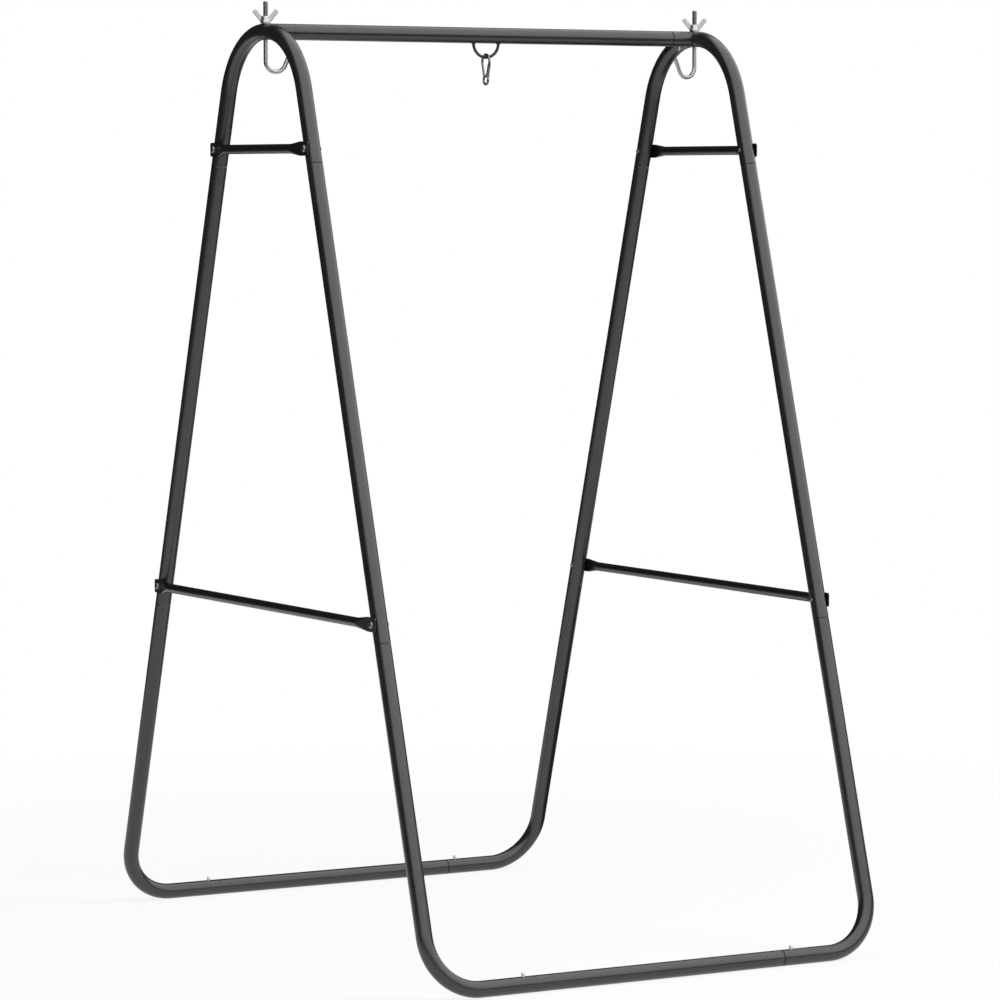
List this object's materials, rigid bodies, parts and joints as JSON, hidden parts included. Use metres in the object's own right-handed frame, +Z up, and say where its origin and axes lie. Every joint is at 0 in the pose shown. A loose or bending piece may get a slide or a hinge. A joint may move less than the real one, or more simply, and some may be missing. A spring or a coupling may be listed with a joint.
{
  "type": "swing stand",
  "caption": "Portable swing frame: two inverted-U end frames joined by a top beam and floor tubes, with screw-adjusted J-hooks and a ring with a snap hook to hang a seat from.",
  "frame": {"origin": "centre of the footprint, on the floor", "axes": "+X along the top beam to the right, +Y from the front floor tube to the back one, +Z up"},
  "size_m": [1.0532, 1.375, 1.8855],
  "materials": {
    "frame_paint": "semi-gloss black powder coat",
    "crossbar_paint": "semi-gloss black powder coat",
    "ring_paint": "semi-gloss black powder coat",
    "black_hardware": "black oxide",
    "bolt_zinc": "dull zinc plate",
    "spring_steel": "bright spring steel",
    "button_zinc": "zinc plate",
    "hook_zinc": "bright zinc plate",
    "wing_nut_zinc": "cast zinc plate",
    "snap_hook_zinc": "satin nickel"
  },
  "bodies": {
    "frame": {"back_floor_tube": "frame_paint", "back_left_floor_button_clip": "spring_steel", "back_left_foot_leg": "frame_paint", "back_left_middle_leg": "frame_paint", "back_right_floor_button_clip": "spring_steel", "back_right_foot_leg": "frame_paint", "back_right_middle_leg": "frame_paint", "crossbar_bolts": "bolt_zinc", "crossbar_nuts": "black_hardware", "front_floor_tube": "frame_paint", "front_left_floor_button_clip": "spring_steel", "front_left_foot_leg": "frame_paint", "front_left_middle_leg": "frame_paint", "front_right_floor_button_clip": "spring_steel", "front_right_foot_leg": "frame_paint", "front_right_middle_leg": "frame_paint", "hanging_ring": "ring_paint", "left_arch": "frame_paint", "left_beam_button_clip": "spring_steel", "left_beam_stub": "frame_paint", "left_lower_crossbar": "crossbar_paint", "left_upper_crossbar": "crossbar_paint", "right_arch": "frame_paint", "right_beam_button_clip": "spring_steel", "right_beam_stub": "frame_paint", "right_lower_crossbar": "crossbar_paint", "right_upper_crossbar": "crossbar_paint", "top_beam": "frame_paint"},
    "left_washer_set": {"left_hook_washer": "hook_zinc"},
    "left_j_hook_rod": {"left_j_hook": "hook_zinc"},
    "left_wing_nut_body": {"left_wing_nut": "wing_nut_zinc"},
    "right_washer_set": {"right_hook_washer": "hook_zinc"},
    "right_j_hook_rod": {"right_j_hook": "hook_zinc"},
    "right_wing_nut_body": {"right_wing_nut": "wing_nut_zinc"},
    "snap_hook": {"snap_hook_body": "snap_hook_zinc"},
    "snap_gate": {"snap_hook_gate": "snap_hook_zinc", "snap_hook_gate_pin": "snap_hook_zinc", "snap_hook_gate_spring": "spring_steel"},
    "left_beam_button_pin": {"left_beam_button": "button_zinc"},
    "front_left_floor_button_pin": {"front_left_floor_button": "button_zinc"},
    "back_left_floor_button_pin": {"back_left_floor_button": "button_zinc"},
    "right_beam_button_pin": {"right_beam_button": "button_zinc"},
    "front_right_floor_button_pin": {"front_right_floor_button": "button_zinc"},
    "back_right_floor_button_pin": {"back_right_floor_button": "button_zinc"}
  },
  "joints": [
    {"name": "left_hook_swivel", "type": "hinge", "parent": "frame", "child": "left_washer_set", "pos_m": [-0.5, 0, 1.842], "axis": [0, 0, 1], "continuous": true},
    {"name": "left_wing_nut_spin", "type": "hinge", "parent": "left_washer_set", "child": "left_wing_nut_body", "pos_m": [-0.5, 0, 1.85], "axis": [0, 0, 1], "range_deg": [-2170, 2170]},
    {"name": "left_hook_height", "type": "slide", "parent": "left_washer_set", "child": "left_j_hook_rod", "axis": [0, 0, 1], "range_m": [-0.009, 0.009]},
    {"name": "right_hook_swivel", "type": "hinge", "parent": "frame", "child": "right_washer_set", "pos_m": [0.5, 0, 1.842], "axis": [0, 0, 1], "continuous": true},
    {"name": "right_wing_nut_spin", "type": "hinge", "parent": "right_washer_set", "child": "right_wing_nut_body", "pos_m": [0.5, 0, 1.85], "axis": [0, 0, 1], "range_deg": [-2170, 2170]},
    {"name": "right_hook_height", "type": "slide", "parent": "right_washer_set", "child": "right_j_hook_rod", "axis": [0, 0, 1], "range_m": [-0.009, 0.009]},
    {"name": "snap_hook_swing", "type": "hinge", "parent": "frame", "child": "snap_hook", "pos_m": [0, 0, 1.7818], "axis": [1, 0, 0], "range_deg": [-85, 85]},
    {"name": "snap_gate_open", "type": "hinge", "parent": "snap_hook", "child": "snap_gate", "pos_m": [0, -0.0062, 1.7441], "axis": [-1, 0, 0], "range_deg": [0, 40], "stiffness_Nm_per_rad": 0.03, "springref_deg": -85.94, "deforming": ["snap_hook_gate_spring"]},
    {"name": "left_beam_button_press", "type": "slide", "parent": "frame", "child": "left_beam_button_pin", "axis": [0, 0, 1], "range_m": [0, 0.0087], "stiffness_N_per_m": 600, "springref_m": -0.006, "deforming": ["left_beam_button_clip"]},
    {"name": "front_left_floor_button_press", "type": "slide", "parent": "frame", "child": "front_left_floor_button_pin", "axis": [0, 0, -1], "range_m": [0, 0.0087], "stiffness_N_per_m": 600, "springref_m": -0.006, "deforming": ["front_left_floor_button_clip"]},
    {"name": "back_left_floor_button_press", "type": "slide", "parent": "frame", "child": "back_left_floor_button_pin", "axis": [0, 0, -1], "range_m": [0, 0.0087], "stiffness_N_per_m": 600, "springref_m": -0.006, "deforming": ["back_left_floor_button_clip"]},
    {"name": "right_beam_button_press", "type": "slide", "parent": "frame", "child": "right_beam_button_pin", "axis": [0, 0, 1], "range_m": [0, 0.0087], "stiffness_N_per_m": 600, "springref_m": -0.006, "deforming": ["right_beam_button_clip"]},
    {"name": "front_right_floor_button_press", "type": "slide", "parent": "frame", "child": "front_right_floor_button_pin", "axis": [0, 0, -1], "range_m": [0, 0.0087], "stiffness_N_per_m": 600, "springref_m": -0.006, "deforming": ["front_right_floor_button_clip"]},
    {"name": "back_right_floor_button_press", "type": "slide", "parent": "frame", "child": "back_right_floor_button_pin", "axis": [0, 0, -1], "range_m": [0, 0.0087], "stiffness_N_per_m": 600, "springref_m": -0.006, "deforming": ["back_right_floor_button_clip"]}
  ],
  "couplings": [
    {"joint": "left_wing_nut_spin", "follows": "left_hook_height", "rad_per_m": -4188.8},
    {"joint": "right_wing_nut_spin", "follows": "right_hook_height", "rad_per_m": -4188.8}
  ]
}
